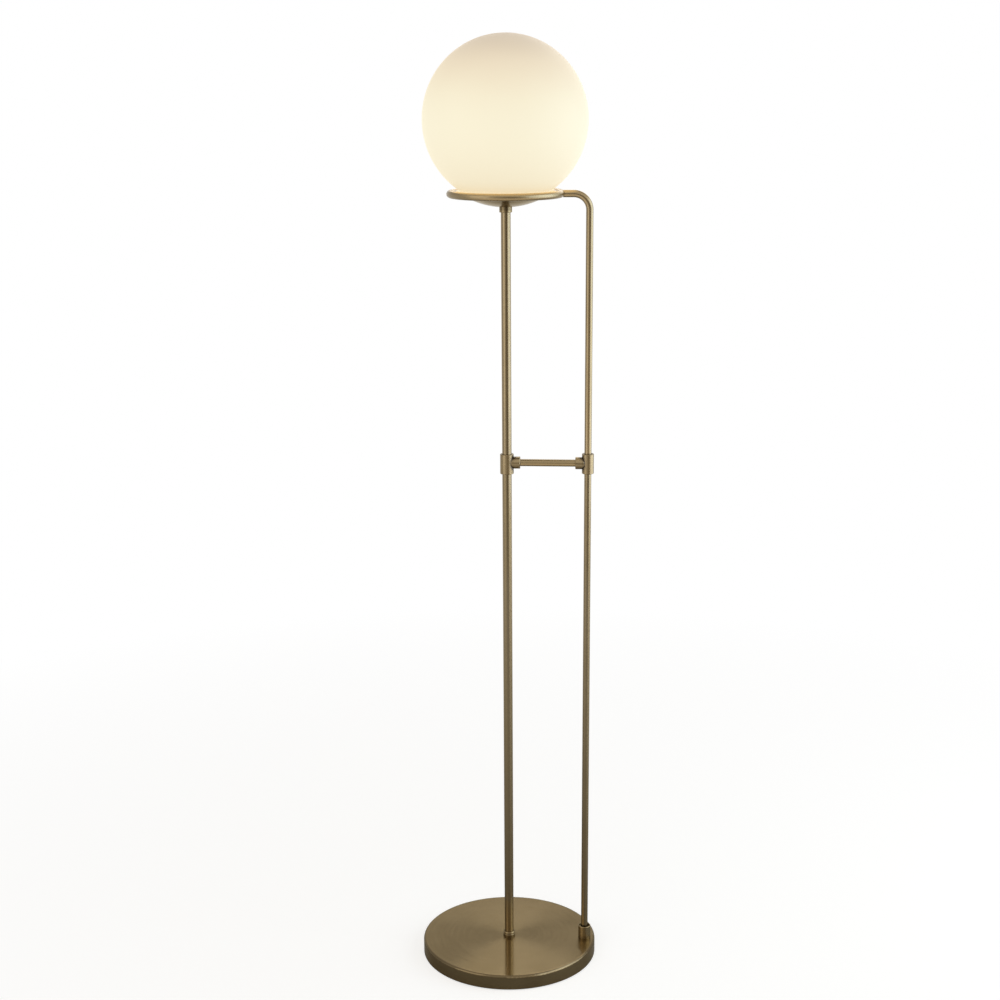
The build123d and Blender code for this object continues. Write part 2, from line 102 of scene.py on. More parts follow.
# A half section from corners (radius, height, round). Each corner becomes an arc that begins
# round / tan(half angle) before it and turns evenly from one side's direction to the next.
def softSection(corners, count=7):
    spots = np.array([corner[:2] for corner in corners])
    share = np.linspace(0, 1, count)[:, None]
    points = []
    for index, corner in enumerate(corners):
        spot = spots[index]
        if corner[2] == 0:
            points.append(spot[None])
            continue
        back = spots[index - 1] - spot
        ahead = spots[(index + 1) % len(spots)] - spot
        back = back / np.linalg.norm(back)
        ahead = ahead / np.linalg.norm(ahead)
        half = np.arccos(np.clip(back @ ahead, -1, 1)) / 2
        bisector = (back + ahead) / np.linalg.norm(back + ahead)
        centre = spot + bisector * corner[2] / np.sin(half)
        first = spot + back * corner[2] / np.tan(half) - centre
        last = spot + ahead * corner[2] / np.tan(half) - centre
        bend = np.pi - 2 * half
        swing = np.sin((1 - share) * bend) * first + np.sin(share * bend) * last
        points.append(centre + swing / np.sin(bend))
    return np.concatenate(points)


# A section turned about an upright axis: (x + r cos a, y + r sin a, z), a over one full turn.
def turned(section, columns, centre=(0.0, 0.0)):
    angle = np.linspace(0, fullTurn, columns, endpoint=False)
    radius = section[:, :1]
    x = centre[0] + radius * np.cos(angle)
    y = centre[1] + radius * np.sin(angle)
    return np.stack([x, y, section[:, 1:] + 0 * angle], axis=2)


# The same turn laid over, so that the section's height runs along X, round the line y = 0, z.
def turnedAlongX(section, columns, height):
    upright = turned(section, columns)
    return np.stack([upright[..., 2], upright[..., 0], upright[..., 1] + height], axis=2)


# And along Y, round the line x = 0, z.
def turnedAlongY(section, columns, height):
    upright = turned(section, columns)
    return np.stack([upright[..., 1], upright[..., 2], upright[..., 0] + height], axis=2)


# A round section carried along a path in the XZ plane: path + r (cos b * side + sin b * out),
# where side is +Y and out stands square to the path's direction and to side.
def carried(path, ahead, radii, columns):
    angle = np.linspace(0, fullTurn, columns, endpoint=False)[None, :, None]
    side = np.array([0.0, 1.0, 0.0])
    out = np.cross(ahead, side)[:, None, :]
    return path[:, None, :] + radii[:, None, None] * (np.cos(angle) * side + np.sin(angle) * out)


nothing = 1e-15    # an area that counts as none
onePoint = 1e-9    # a spread that counts as a single point


# Normals from central differences along the rows and the columns; a pole takes the mean of
# the row beside it.
def gridNormals(points, wrapRows):
    if wrapRows:
        alongRows = np.roll(points, -1, axis=0) - np.roll(points, 1, axis=0)
    else:
        padded = np.concatenate([points[:1], points, points[-1:]])
        alongRows = padded[2:] - padded[:-2]
    alongColumns = np.roll(points, -1, axis=1) - np.roll(points, 1, axis=1)
    normals = np.cross(alongColumns, alongRows)
    size = np.linalg.norm(normals, axis=2, keepdims=True)
    normals = normals / np.maximum(size, nothing)
    if not wrapRows:
        for pole, beside in ((0, 1), (-1, -2)):
            if size[pole].max() < nothing:
                mean = normals[beside].mean(axis=0)
                normals[pole] = mean / np.linalg.norm(mean)
    return normals


# A mesh from a grid of points, closed round its columns, and round its rows or to a pole at
# each end. The UV map holds metres along the rows and turns round the columns. Faces that
# would enclose a negative volume are turned round, so that they all point outwards.
def gridPiece(name, points, wrapRows=True, smooth=True):
    rows, columns = points.shape[:2]
    spots = points.reshape(-1, 3)
    number = np.arange(rows * columns).reshape(rows, columns)
    faceRows = rows if wrapRows else rows - 1
    row, column = np.meshgrid(np.arange(faceRows), np.arange(columns), indexing="ij")
    nextRow, nextColumn = (row + 1) % rows, (column + 1) % columns
    corners = np.stack([
        number[row, column], number[row, nextColumn], number[nextRow, nextColumn], number[nextRow, column],
    ], axis=-1).reshape(-1, 4)
    steps = np.linalg.norm(np.roll(points[:, 0], -1, axis=0) - points[:, 0], axis=1)
    along = np.concatenate([[0], np.cumsum(steps)])
    u = np.stack([along[row], along[row], along[row + 1], along[row + 1]], axis=-1).reshape(-1, 4)
    v = np.stack([column, column + 1, column + 1, column], axis=-1).reshape(-1, 4) / columns
    normals = gridNormals(points, wrapRows).reshape(-1, 3)
    a, b, c, d = (spots[corners[:, k]] for k in range(4))
    if (np.cross(a, b) * c).sum() + (np.cross(a, c) * d).sum() < 0:
        corners, u, v, normals = corners[:, ::-1], u[:, ::-1], v[:, ::-1], -normals
    corners = corners.copy()
    keep = np.ones(corners.shape, dtype=bool)
    for end in (() if wrapRows else (0, rows - 1)):
        if np.ptp(points[end], axis=0).max() < onePoint:
            inPole = np.isin(corners, number[end])
            corners[inPole] = number[end, 0]
            keep &= ~(inPole & np.roll(inPole, 1, axis=1))
    used, compact = np.unique(corners, return_inverse=True)
    total = keep.sum(axis=1)
    mesh = bpy.data.meshes.new(name)
    mesh.vertices.add(len(used))
    mesh.vertices.foreach_set("co", spots[used].ravel())
    mesh.loops.add(int(total.sum()))
    mesh.loops.foreach_set("vertex_index", compact.reshape(corners.shape)[keep])
    mesh.polygons.add(len(total))
    mesh.polygons.foreach_set("loop_start", np.cumsum(total) - total)
    mesh.polygons.foreach_set("use_smooth", np.full(len(total), smooth))
    mesh.update(calc_edges=True)
    mesh.uv_layers.new(name="brush").data.foreach_set("uv", np.stack([u[keep], v[keep]], axis=1).ravel())
    if smooth:
        mesh.normals_split_custom_set_from_vertices(normals[used].tolist())
    piece = bpy.data.objects.new(name, mesh)
    scene.collection.objects.link(piece)
    return piece


# Makes a piece and finishes it: material, the body it rides on and the nodes it replaces.
def addPiece(name, points, finish, nodes, slotName="antique_brass", body="stand", **shape):
    piece = gridPiece(name, points, **shape)
    piece.data.materials.append(finish)
    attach(piece, body)
    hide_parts(*nodes)


# A shader node. Its inputs are links or plain values; the one output that is on comes back.
def wire(tree, kind, inputs=None, output=None, **properties):
    node = tree.nodes.new("ShaderNode" + kind)
    for key, value in properties.items():
        setattr(node, key, value)
    for key, value in (inputs or {}).items():
        if isinstance(value, bpy.types.NodeSocket):
            tree.links.new(value, node.inputs[key])
        else:
            node.inputs[key].default_value = value
    if output is not None:
        return node.outputs[output]
    return next(socket for socket in node.outputs if socket.enabled)


def calc(tree, operation, first, second=0.0, third=0.0):
    return wire(tree, "Math", {0: first, 1: second, 2: third}, operation=operation)


def separate(tree, vector):
    node = tree.nodes.new("ShaderNodeSeparateXYZ")
    tree.links.new(vector, node.inputs[0])
    return node.outputs


def mixColour(tree, factor, first, second):
    return wire(tree, "Mix", {0: factor, 6: first, 7: second}, data_type="RGBA")


def remap(tree, value, fromLow, fromHigh, toLow, toHigh):
    ends = {"Value": value, "From Min": fromLow, "From Max": fromHigh, "To Min": toLow, "To Max": toHigh}
    return wire(tree, "MapRange", ends)


# A smooth step of a value between two limits.
def step(tree, value, low, high):
    ends = {"Value": value, "From Min": low, "From Max": high, "To Min": 0.0, "To Max": 1.0}
    return wire(tree, "MapRange", ends, interpolation_type="SMOOTHSTEP")


def noise(tree, vector, scale, detail=2.0, roughness=0.5):
    ends = {"Vector": vector, "Scale": scale, "Detail": detail, "Roughness": roughness}
    return wire(tree, "TexNoise", ends)


def stretched(tree, vector, scale):
    return wire(tree, "Mapping", {"Vector": vector, "Scale": scale})


def principled(name, **inputs):
    material = bpy.data.materials.new(name)
    material.use_nodes = True
    shader = material.node_tree.nodes["Principled BSDF"]
    for key, value in inputs.items():
        shader.inputs[key.replace("_", " ")].default_value = value
    place = wire(material.node_tree, "TexCoord", output="Object")
    return material, material.node_tree, shader, place


def feed(tree, shader, **links):
    for key, value in links.items():
        tree.links.new(value, shader.inputs[key.replace("_", " ")])


# Antique brass: fine brush lines run round each piece, under a thin clear lacquer.
brass = {
    "bright": (0.236, 0.177, 0.094, 1),
    "dull": (0.198, 0.146, 0.074, 1),
    "edgeTint": (0.88, 0.82, 0.70, 1),
    "cloudScale": 14,  # per metre
    "wander": 0.5,  # how far a line drifts on its way round, in widths of a line
    "spunWander": 2.0,  # the same on the cover and the cast pieces
    "lineDepth": 0.000002,
    "lacquerRoughness": 0.06,
    "paintedShade": (0.040, 0.026, 0.012, 1),  # painted shade, dark in the creases and on the cover's rim
    "creaseShadeReach": 0.007,
    "creaseShadeFrom": (0.88, 0.985),  # how open a place is where the painted crease shade is full, and where it ends
    "rimRound": 0.004,  # of the spun cover
    # how strong the painted shade on the cover's rim is
    "rimShadeStrength": 1.3,
}
fineLines = ((420, 0.20), (1100, 0.35), (2600, 0.45))     # lines per metre and their share
ringLines = ((75, 0.25), (190, 0.40), (620, 0.35))
# anisotropy, roughness of the brightest and of the dullest lines, how much lacquer shows, how
# far the tone swings (less is stronger), the lines, and how dark the painted shade in the creases is
brassSurface = {
    "turned": (0.80, 0.22, 0.28, 0.5, 0.18, fineLines, 0.0),
    "rolled": (0.20, 0.32, 0.40, 0.4, 0.18, fineLines, 0.0),
    "fitted": (0.90, 0.22, 0.30, 0.15, 0.16, fineLines, 0.4),
    "polished": (0.50, 0.20, 0.27, 0.1, 0.14, fineLines, 0.0),
    "cast": (0.0, 0.24, 0.34, 0.4, 0.14, fineLines, 1.0),
    "spun": (0.97, 0.15, 0.22, 0.12, 0.08, ringLines, 0.0),
}


# Brush lines: noise drawn out round the piece, in layers of ever finer lines. Along is the way
# across the lines in metres, and around holds the cosine and sine of the turn, so it closes.
def brushLines(tree, along, around, layers):
    lines = 0.0
    for perMetre, share in layers:
        across = calc(tree, "MULTIPLY", along, perMetre)
        vector = wire(tree, "CombineXYZ", {0: across, 1: around[0], 2: around[1]})
        lines = calc(tree, "MULTIPLY_ADD", noise(tree, vector, 1.0, 2.0, 0.5), share, lines)
    return lines


# The way across the lines and the turn: from the UV map of a turned piece, from the radius
# and the height on the spun cover, and from the height alone on a cast piece.
def brushWay(tree, surface, place):
    if surface in ("turned", "rolled", "fitted", "polished"):
        along, turn = separate(tree, wire(tree, "UVMap", uv_map="brush"))[:2]
        angle = calc(tree, "MULTIPLY", turn, fullTurn)
        ways = [calc(tree, way, angle) for way in ("COSINE", "SINE")]
        return along, [calc(tree, "MULTIPLY", way, brass["wander"]) for way in ways]
    x, y, z = separate(tree, place)
    flat = wire(tree, "CombineXYZ", {0: x, 1: y})
    ways = separate(tree, wire(tree, "VectorMath", {0: flat}, operation="NORMALIZE"))[:2]
    around = [calc(tree, "MULTIPLY", way, brass["spunWander"]) for way in ways]
    if surface == "cast":
        return z, around
    radius = wire(tree, "VectorMath", {0: flat}, output="Value", operation="LENGTH")
    return calc(tree, "ADD", radius, z), around


# The cover's rounded rim is darker, a painted shade that dims its reflection: how far a point stands
# out towards the rim's radius, times how far it stands up towards its height, both as shares of the round.
def rimShadeShare(tree, place):
    corner, bend = reach("base_cover")[1], brass["rimRound"]
    radius, height = float(corner[0]), float(corner[2])
    x, y, z = separate(tree, place)
    flat = wire(tree, "CombineXYZ", {0: x, 1: y})
    out = wire(tree, "VectorMath", {0: flat}, output="Value", operation="LENGTH")
    outShare = remap(tree, out, radius - bend, radius, 0, 1)
    upShare = remap(tree, z, height - bend, height, 0, brass["rimShadeStrength"])
    return calc(tree, "MINIMUM", calc(tree, "MULTIPLY", outShare, upShare), 1.0)


def brushedBrass(name, surface):
    anisotropy, smoothest, roughest, lacquer, swing, layers, creaseShade = brassSurface[surface]
    material, tree, shader, place = principled(
        name, Metallic=1.0, Anisotropic=anisotropy, Specular_Tint=brass["edgeTint"],
        Coat_Weight=lacquer, Coat_Roughness=brass["lacquerRoughness"],
    )
    lines = brushLines(tree, *brushWay(tree, surface, place), layers)
    cloud = noise(tree, place, brass["cloudScale"], 4.0, 0.55)
    mixed = calc(tree, "MULTIPLY_ADD", cloud, 0.5, calc(tree, "MULTIPLY", lines, 0.5))
    tone = remap(tree, mixed, 0.5 - swing, 0.5 + swing, 0, 1)
    colour = mixColour(tree, tone, brass["dull"], brass["bright"])
    # Painted shade: the colour turns to the dark tone where ambient occlusion finds a place closed in, in
    # creases, grooves and recesses.
    if creaseShade:
        room = {"Distance": brass["creaseShadeReach"]}
        openness = wire(tree, "AmbientOcclusion", room, output="AO", samples=8)
        clear = step(tree, openness, *brass["creaseShadeFrom"])
        unshaded = calc(tree, "MULTIPLY_ADD", clear, creaseShade, 1 - creaseShade)
        colour = mixColour(tree, unshaded, brass["paintedShade"], colour)
    # Painted shade on the cover's rounded rim, which dims its reflection there.
    if surface == "spun":
        colour = mixColour(tree, rimShadeShare(tree, place), colour, brass["paintedShade"])
    relief = wire(tree, "Bump", {"Strength": 1.0, "Distance": brass["lineDepth"], "Height": lines})
    rough = remap(tree, lines, 0.3, 0.7, roughest, smoothest)
    feed(tree, shader, Base_Color=colour, Roughness=rough, Normal=relief)
    if surface == "spun":
        feed(tree, shader, Tangent=wire(tree, "Tangent", direction_type="RADIAL", axis="Z"))
        shader.inputs["Anisotropic Rotation"].default_value = 0.25   # a quarter turn
    elif surface != "cast":
        feed(tree, shader, Tangent=wire(tree, "Tangent", direction_type="UV_MAP", uv_map="brush"))
    return material


brassFinish = {surface: brushedBrass("brass" + surface.capitalize(), surface) for surface in brassSurface}
print("brass mixed")


# The other finishes: tone, variant, grains per metre, roughness from and to, depth of the
# relief in metres, and what else the shader gets.
plainFinishes = {
    "zincPlate": ((0.50, 0.51, 0.52), (0.62, 0.61, 0.58), 900, (0.22, 0.42), 4e-6, {"Metallic": 1.0}),
    "machinedBrass": ((0.62, 0.43, 0.17), (0.72, 0.53, 0.25), 1200, (0.18, 0.34), 4e-6, {"Metallic": 1.0}),
    "nickel": ((0.60, 0.57, 0.52), (0.70, 0.68, 0.64), 700, (0.14, 0.30), 3e-6, {"Metallic": 1.0}),
    "castIron": ((0.012, 0.012, 0.012), (0.035, 0.033, 0.031), 350, (0.45, 0.75), 2.5e-4, {}),
    "feltPad": (
        (0.012, 0.012, 0.013), (0.035, 0.034, 0.033), 2600, (0.85, 1.0), 2e-4, {"Sheen_Weight": 0.4},
    ),
    "silicone": (
        (0.62, 0.59, 0.53), (0.70, 0.67, 0.61), 800, (0.40, 0.55), 8e-6,
        {"Subsurface_Weight": 0.2, "Subsurface_Scale": 0.002},
    ),
    "blackPlastic": ((0.010, 0.010, 0.010), (0.020, 0.019, 0.018), 1500, (0.28, 0.42), 8e-6, {}),
    "ceramic": ((0.66, 0.62, 0.55), (0.76, 0.73, 0.67), 1100, (0.45, 0.65), 2e-5, {}),
    "whitePlastic": ((0.74, 0.74, 0.71), (0.80, 0.79, 0.76), 1400, (0.30, 0.42), 6e-6, {}),
    "blackGlass": ((0.008, 0.008, 0.010), (0.016, 0.014, 0.018), 600, (0.06, 0.16), 4e-6, {}),
    "boardPaint": ((0.66, 0.67, 0.65), (0.76, 0.77, 0.75), 700, (0.35, 0.5), 6e-6, {}),
}
plainGrain = {
    "patch": 12, "grainShare": 0.4, "patchShare": 0.6, "toneFrom": (0.35, 0.65), "glossFrom": (0.3, 0.7),
}


# A fine grain and patches a dozen times its size make the tone; the grain alone makes the
# gloss and the relief.
def plainFinish(name, tone, variant, scale, rough, relief, inputs):
    material, tree, shader, place = principled(name, **inputs)
    grain = noise(tree, place, scale, 5.0, 0.6)
    patches = noise(tree, place, scale / plainGrain["patch"], 3.0, 0.5)
    patchPart = calc(tree, "MULTIPLY", patches, plainGrain["patchShare"])
    mixed = calc(tree, "MULTIPLY_ADD", grain, plainGrain["grainShare"], patchPart)
    blend = remap(tree, mixed, *plainGrain["toneFrom"], 0, 1)
    bump = wire(tree, "Bump", {"Strength": 1.0, "Distance": relief, "Height": grain})
    colour = mixColour(tree, blend, tone + (1,), variant + (1,))
    gloss = remap(tree, grain, *plainGrain["glossFrom"], *rough)
    feed(tree, shader, Base_Color=colour, Roughness=gloss, Normal=bump)
    return material


plain = {name: plainFinish(name, *settings) for name, settings in plainFinishes.items()}


# Opal glass, lit: a soft satin white whose glow is strongest beside the bulb, warmer low down
# and duller over the top. The glow follows the height, and its clouds are barely there.
opal = {
    "colour": (0.36, 0.35, 0.325, 1),
    "rough": (0.55, 0.62),
    "cloudScale": 9,
    "cloudDrift": 0.06,  # how far the clouds shift the glow, in shares of the height
    "cloudTone": 0.96,  # the clouds' colour, as a share of the rest
    "glow": (                      # share of the globe's height, colour
        (0.00, (0.72, 0.60, 0.39)),
        (0.12, (0.79, 0.70, 0.50)),
        (0.36, (0.78, 0.72, 0.53)),
        (0.60, (0.74, 0.68, 0.49)),
        (0.82, (0.65, 0.53, 0.36)),
        (1.00, (0.37, 0.29, 0.21)),
    ),
}


def opalGlass(low, high):
    material, tree, shader, place = principled("opalGlass", Emission_Strength=1.0, Specular_IOR_Level=0.12)
    cloud = noise(tree, place, opal["cloudScale"], 2.0, 0.4)
    level = remap(tree, separate(tree, place)[2], low, high, 0, 1)
    level = calc(tree, "MULTIPLY_ADD", calc(tree, "SUBTRACT", cloud, 0.5), opal["cloudDrift"], level)
    ramp = tree.nodes.new("ShaderNodeValToRGB")
    ramp.color_ramp.interpolation = "B_SPLINE"
    stops = ramp.color_ramp.elements
    for index, (share, colour) in enumerate(opal["glow"]):
        stop = stops[index] if index < 2 else stops.new(share)
        stop.position = share
        stop.color = colour + (1,)
    tree.links.new(level, ramp.inputs[0])
    rough = remap(tree, cloud, 0.3, 0.7, *opal["rough"])
    duller = tuple(opal["cloudTone"] * part for part in opal["colour"][:3]) + (1,)
    white = mixColour(tree, cloud, opal["colour"], duller)
    feed(tree, shader, Emission_Color=ramp.outputs[0], Roughness=rough, Base_Color=white)
    return material


frosted = {
    "scale": 60,
    "glow": ((1.0, 0.86, 0.62, 1), (1.0, 0.90, 0.70, 1)),
    "colour": ((0.80, 0.77, 0.70, 1), (0.86, 0.83, 0.76, 1)),
}


# The bulb's frosted dome, with a fine noise between two tones of light and of plastic.
def lampLight():
    material, tree, shader, place = principled("lampLight", Emission_Strength=1.0, Roughness=0.5)
    frost = noise(tree, place, frosted["scale"], 3.0, 0.5)
    glow = mixColour(tree, frost, *frosted["glow"])
    feed(tree, shader, Emission_Color=glow, Base_Color=mixColour(tree, frost, *frosted["colour"]))
    return material


print("finishes mixed")


# The globe: an outer and an inner arc round one centre, from the top down to a rounded mouth.
globe = {"wall": 0.0025, "mouth": 0.05, "columns": 160, "rows": 90}


def addGlobe():
    low, high = reach("globe_shade")
    radius = high[0]
    centre = (0.0, high[2] - radius)
    inside = radius - globe["wall"]
    middle = radius - globe["wall"] / 2
    mouth = -np.arccos(globe["mouth"] / middle)
    edge = (middle * np.cos(mouth), centre[1] + middle * np.sin(mouth))
    section = np.concatenate([
        arcPoints(centre, radius, quarterTurn, mouth, globe["rows"]),
        arcPoints(edge, globe["wall"] / 2, mouth, mouth - np.pi, 9)[1:-1],
        arcPoints(centre, inside, mouth, quarterTurn, globe["rows"]),
    ])
    section[[0, -1], 0] = 0
    points, glass = turned(section, globe["columns"]), opalGlass(low[2], high[2])
    addPiece("globeGlass", points, glass, ["globe_shade"], "opal_glass", "globe", wrapRows=False)
    return centre[1], radius


globeHeight, globeRadius = addGlobe()
print("globe blown")


# The ring: a rod of one radius carried round a circle.
ring = {"columns": 48, "rows": 240}


def addRing():
    low, high = reach("ring")
    rod = (high[2] - low[2]) / 2
    height = (high[2] + low[2]) / 2
    around = np.linspace(0, fullTurn, ring["rows"], endpoint=False)[:, None]
    over = np.linspace(0, fullTurn, ring["columns"], endpoint=False)[None, :]
    out = high[1] - rod + rod * np.cos(over)
    level = height + rod * np.sin(over) + 0 * around
    points = np.stack([out * np.cos(around), out * np.sin(around), level], axis=2)
    addPiece("ringRod", points, brassFinish["rolled"], ["ring"])
    return high[1] - rod, height, rod


ringRadius, ringHeight, ringRod = addRing()


# The dish: a bowl round the globe's centre with a flat seat, whose sheet turns over a small
# circle outside it and comes down on the ring.
dish = {
    "wall": 0.0012,
    "flat": 0.014,  # radius of the flat seat
    "lip": 0.003,
    "letIn": 0.00015,  # how far the lip sinks into the ring
    "lipAngle": 8.5,  # degrees below level, from the lip to the ring's rod
    "hole": 0.0051,
    "columns": 240,
}


def addDish():
    low = reach("dish")[0]
    half = dish["wall"] / 2
    globeCentre = (0.0, globeHeight)
    floorHeight = low[2] + dish["wall"]
    outside = np.hypot(globeHeight - low[2], dish["flat"])
    inside = outside - dish["wall"]
    flatInside = np.sqrt(inside ** 2 - (globeHeight - floorHeight) ** 2)
    fall = np.radians(dish["lipAngle"])
    toRod = ringRod + dish["lip"] + half - dish["letIn"]
    lip = (ringRadius - toRod * np.cos(fall), ringHeight + toRod * np.sin(fall))
    bowlEnd = np.arctan2(lip[1] - globeHeight, lip[0])
    toGlobe = np.arctan2(globeHeight - lip[1], -lip[0])
    under, over = dish["lip"] - half, dish["lip"] + half
    flatOut = np.arctan2(low[2] - globeHeight, dish["flat"])
    flatIn = np.arctan2(floorHeight - globeHeight, flatInside)
    section = np.concatenate([
        [(dish["hole"], low[2])],
        arcPoints(globeCentre, outside, flatOut, bowlEnd, 40),
        arcPoints(lip, under, toGlobe, -fall, 16)[1:],
        arcPoints(lip, over, -fall, toGlobe, 16),
        arcPoints(globeCentre, inside, bowlEnd, flatIn, 40)[1:],
        [(dish["hole"], floorHeight)],
    ])
    addPiece("dishBowl", turned(section, dish["columns"]), brassFinish["polished"], ["dish"])


addDish()
print("ring and dish spun")


# Tubes of the main pole: a wall turned about the axis, with its edges broken.
poles = {"wall": 0.001, "edge": 0.0003, "columns": 96}


def addTube(name, node):
    low, high = reach(node)
    radius = high[0]
    inside = radius - poles["wall"]
    edge = poles["edge"]
    section = softSection([
        (radius, low[2], edge), (radius, high[2], edge), (inside, high[2], edge), (inside, low[2], edge),
    ], 4)
    addPiece(name, turned(section, poles["columns"]), brassFinish["turned"], [node])


addTube("poleTubeLower", "pole_lower")
addTube("poleTubeUpper", "pole_upper")


# Rods: a solid section of length and radius, tapped at both ends. The cross bar lies along X,
# and the side rod's upper piece follows an upright, a quarter bend and a level end.
rods = {
    "edge": 0.0004,
    "tap": 0.008,
    "footTap": 0.012,
    "ringTap": 0.0108,
    "hole": 0.00255,
    "levelEnd": 0.0163,  # from the bend to the end, which lies a little way into the ring
    "columns": 72,
    "bendRows": 48,
}


def rodSection(radius, start, end, startTap, endTap, startEdge, endEdge, between=()):
    hole = rods["hole"]
    return softSection([
        (0, start + startTap, 0), (hole, start + startTap, crisp), (hole, start, crisp),
        (radius, start, startEdge),
        *((radius, at, 0) for at in between),
        (radius, end, endEdge), (hole, end, crisp), (hole, end - endTap, crisp), (0, end - endTap, 0),
    ], 5)


def addCrossBar():
    low, high = reach("cross_bar")
    edge = rods["edge"]
    section = rodSection(high[1], low[0], high[0], rods["tap"], rods["tap"], edge, edge)
    points = turnedAlongX(section, rods["columns"], (low[2] + high[2]) / 2)
    addPiece("crossRod", points, brassFinish["rolled"], ["cross_bar"], wrapRows=False)


def addLowerSideRod():
    low, high = reach("side_rod_lower")
    edge = rods["edge"]
    section = rodSection(high[1], low[2], high[2], rods["footTap"], rods["tap"], edge, edge)
    points = turned(section, rods["columns"], ((low[0] + high[0]) / 2, 0.0))
    addPiece("sideRodStraight", points, brassFinish["turned"], ["side_rod_lower"], wrapRows=False)


def addUpperSideRod():
    low, high = reach("side_rod_upper")
    radius = high[1]
    axis = high[0] - radius
    bend = axis - low[0] - rods["levelEnd"]
    straight = high[2] - radius - bend - low[2]
    arcLength = bend * quarterTurn
    total = straight + arcLength + rods["levelEnd"]
    between = np.linspace(straight, straight + arcLength, rods["bendRows"])
    edge = rods["edge"]
    section = rodSection(radius, 0, total, rods["tap"], rods["ringTap"], edge, edge, between)
    run = section[:, 1]
    angle = np.clip(run - straight, 0, arcLength) / bend
    x = axis - bend * (1 - np.cos(angle)) - np.maximum(run - straight - arcLength, 0)
    z = low[2] + np.minimum(run, straight) + bend * np.sin(angle)
    path = np.stack([x, 0 * x, z], axis=1)
    ahead = np.stack([-np.sin(angle), 0 * x, np.cos(angle)], axis=1)
    points = carried(path, ahead, section[:, 0], rods["columns"])
    addPiece("sideRodBent", points, brassFinish["turned"], ["side_rod_upper"], wrapRows=False)


addCrossBar()
addLowerSideRod()
addUpperSideRod()
print("poles, bar and rods drawn")


# Collars and the socket: closed sections turned about their own axes.
fittings = {
    "play": 0.0001,
    "bandTop": 0.004,  # of the foot collar, over the base
    "groove": 0.0007,
    "bandRound": 0.0005,
    "beadFoot": 0.0012,
    "beadTop": 0.001425,
    "socketRound": 0.0008,
    "shelfRound": 0.0004,
    "neckRound": 0.0006,
    "collarFloor": 0.002,
    "nippleHole": 0.0051,
    "poleRadius": 0.0075,
    "rodRadius": 0.0056,
    "socketFloor": 0.004,
    "socketLip": 0.0018,
    "socketRecess": 0.004,
    "studHole": 0.0026,
    "columns": 96,
}


def addFootCollar():
    low, high = reach("foot_collar")
    outer, bore, hole = high[0], fittings["poleRadius"] + fittings["play"], fittings["nippleHole"]
    foot, top = low[2], high[2]
    band = foot + fittings["bandTop"]
    groove, shelf = fittings["groove"], foot + fittings["collarFloor"]
    section = softSection([
        (hole, foot, crisp), (outer, foot, soft), (outer, band - groove, fittings["bandRound"]),
        (outer - groove, band, crisp), (outer, band + groove, fittings["beadFoot"]),
        (outer, top, fittings["beadTop"]), (bore, top, crisp),
        (bore, shelf, crisp), (hole, shelf, crisp),
    ])
    addPiece("footRing", turned(section, fittings["columns"]), brassFinish["fitted"], ["foot_collar"])


def addSocket():
    low, high = reach("side_socket")
    outer = high[1]
    foot, top = low[2], high[2]
    recess, bore = outer - fittings["socketLip"], fittings["rodRadius"] + fittings["play"]
    shelf, floorHeight = top - fittings["socketRecess"], foot + fittings["socketFloor"]
    section = softSection([
        (fittings["studHole"], foot, crisp), (outer, foot, soft), (outer, top, fittings["socketRound"]),
        (recess, top, soft), (recess, shelf, fittings["shelfRound"]), (bore, shelf, soft),
        (bore, floorHeight, crisp),
        (fittings["studHole"], floorHeight, crisp),
    ])
    points = turned(section, fittings["columns"], ((low[0] + high[0]) / 2, 0.0))
    addPiece("sideCup", points, brassFinish["fitted"], ["side_socket"])


def addTopCollar():
    low, high = reach("top_collar")
    bore, hole = fittings["poleRadius"] + fittings["play"], fittings["nippleHole"]
    ceiling = high[2] - fittings["collarFloor"]
    section = softSection([
        (bore, low[2], crisp), (high[0], low[2], fittings["neckRound"]), (high[0], high[2], crisp),
        (hole, high[2], crisp), (hole, ceiling, crisp), (bore, ceiling, crisp),
    ])
    addPiece("neckRing", turned(section, fittings["columns"]), brassFinish["fitted"], ["top_collar"])


addFootCollar()
addSocket()
addTopCollar()
print("collars and socket turned")


# Hexagon nuts: radius flats / cos(angle from the middle of a flat), with the corners cut back
# by a cone that falls as the corner stands out.
nuts = {"bore": 0.00505, "cone": 0.5, "seat": 0.97, "perFlat": 12, "rim": 0.0003}


def addNut(name, node):
    low, high = reach(node)
    flats = min(high[0], high[1])
    columns = 6 * nuts["perFlat"]
    angle = np.arange(columns) * fullTurn / columns
    start = 0 if high[0] > high[1] else fullTurn / 12
    hexagon = flats / np.cos((angle - start) % (fullTurn / 6) - fullTurn / 12)
    seat = np.full(columns, flats * nuts["seat"])
    fall = (hexagon - seat) * nuts["cone"]
    bore, rim = np.full(columns, nuts["bore"]), np.full(columns, nuts["bore"] + nuts["rim"])
    flat = np.zeros(columns)
    radius = np.stack([bore, rim, seat, hexagon, hexagon, seat, rim, bore])
    height = np.stack([
        low[2] + nuts["rim"] + flat, low[2] + flat, low[2] + flat, low[2] + fall,
        high[2] - fall, high[2] + flat, high[2] + flat, high[2] - nuts["rim"] + flat,
    ])
    points = np.stack([radius * np.cos(angle), radius * np.sin(angle), height], axis=2)
    addPiece(name, points, plain["zincPlate"], [node], "zinc_steel", smooth=False)


addNut("footHexNut", "foot_nut")
addNut("dishHexNut", "dish_nut")


# A round thread: the radius swings by half its depth once per pitch and once per turn, and
# fades out towards both ends.
def threadSwing(height, columns, pitch, start, end, run):
    angle = np.linspace(0, fullTurn, columns, endpoint=False)[None, :]
    swing = np.cos(fullTurn * height / pitch - angle)
    fadeIn = np.clip((height - start) / run, 0, 1)
    fadeOut = np.clip((end - height) / run, 0, 1)
    return swing * fadeIn * fadeOut


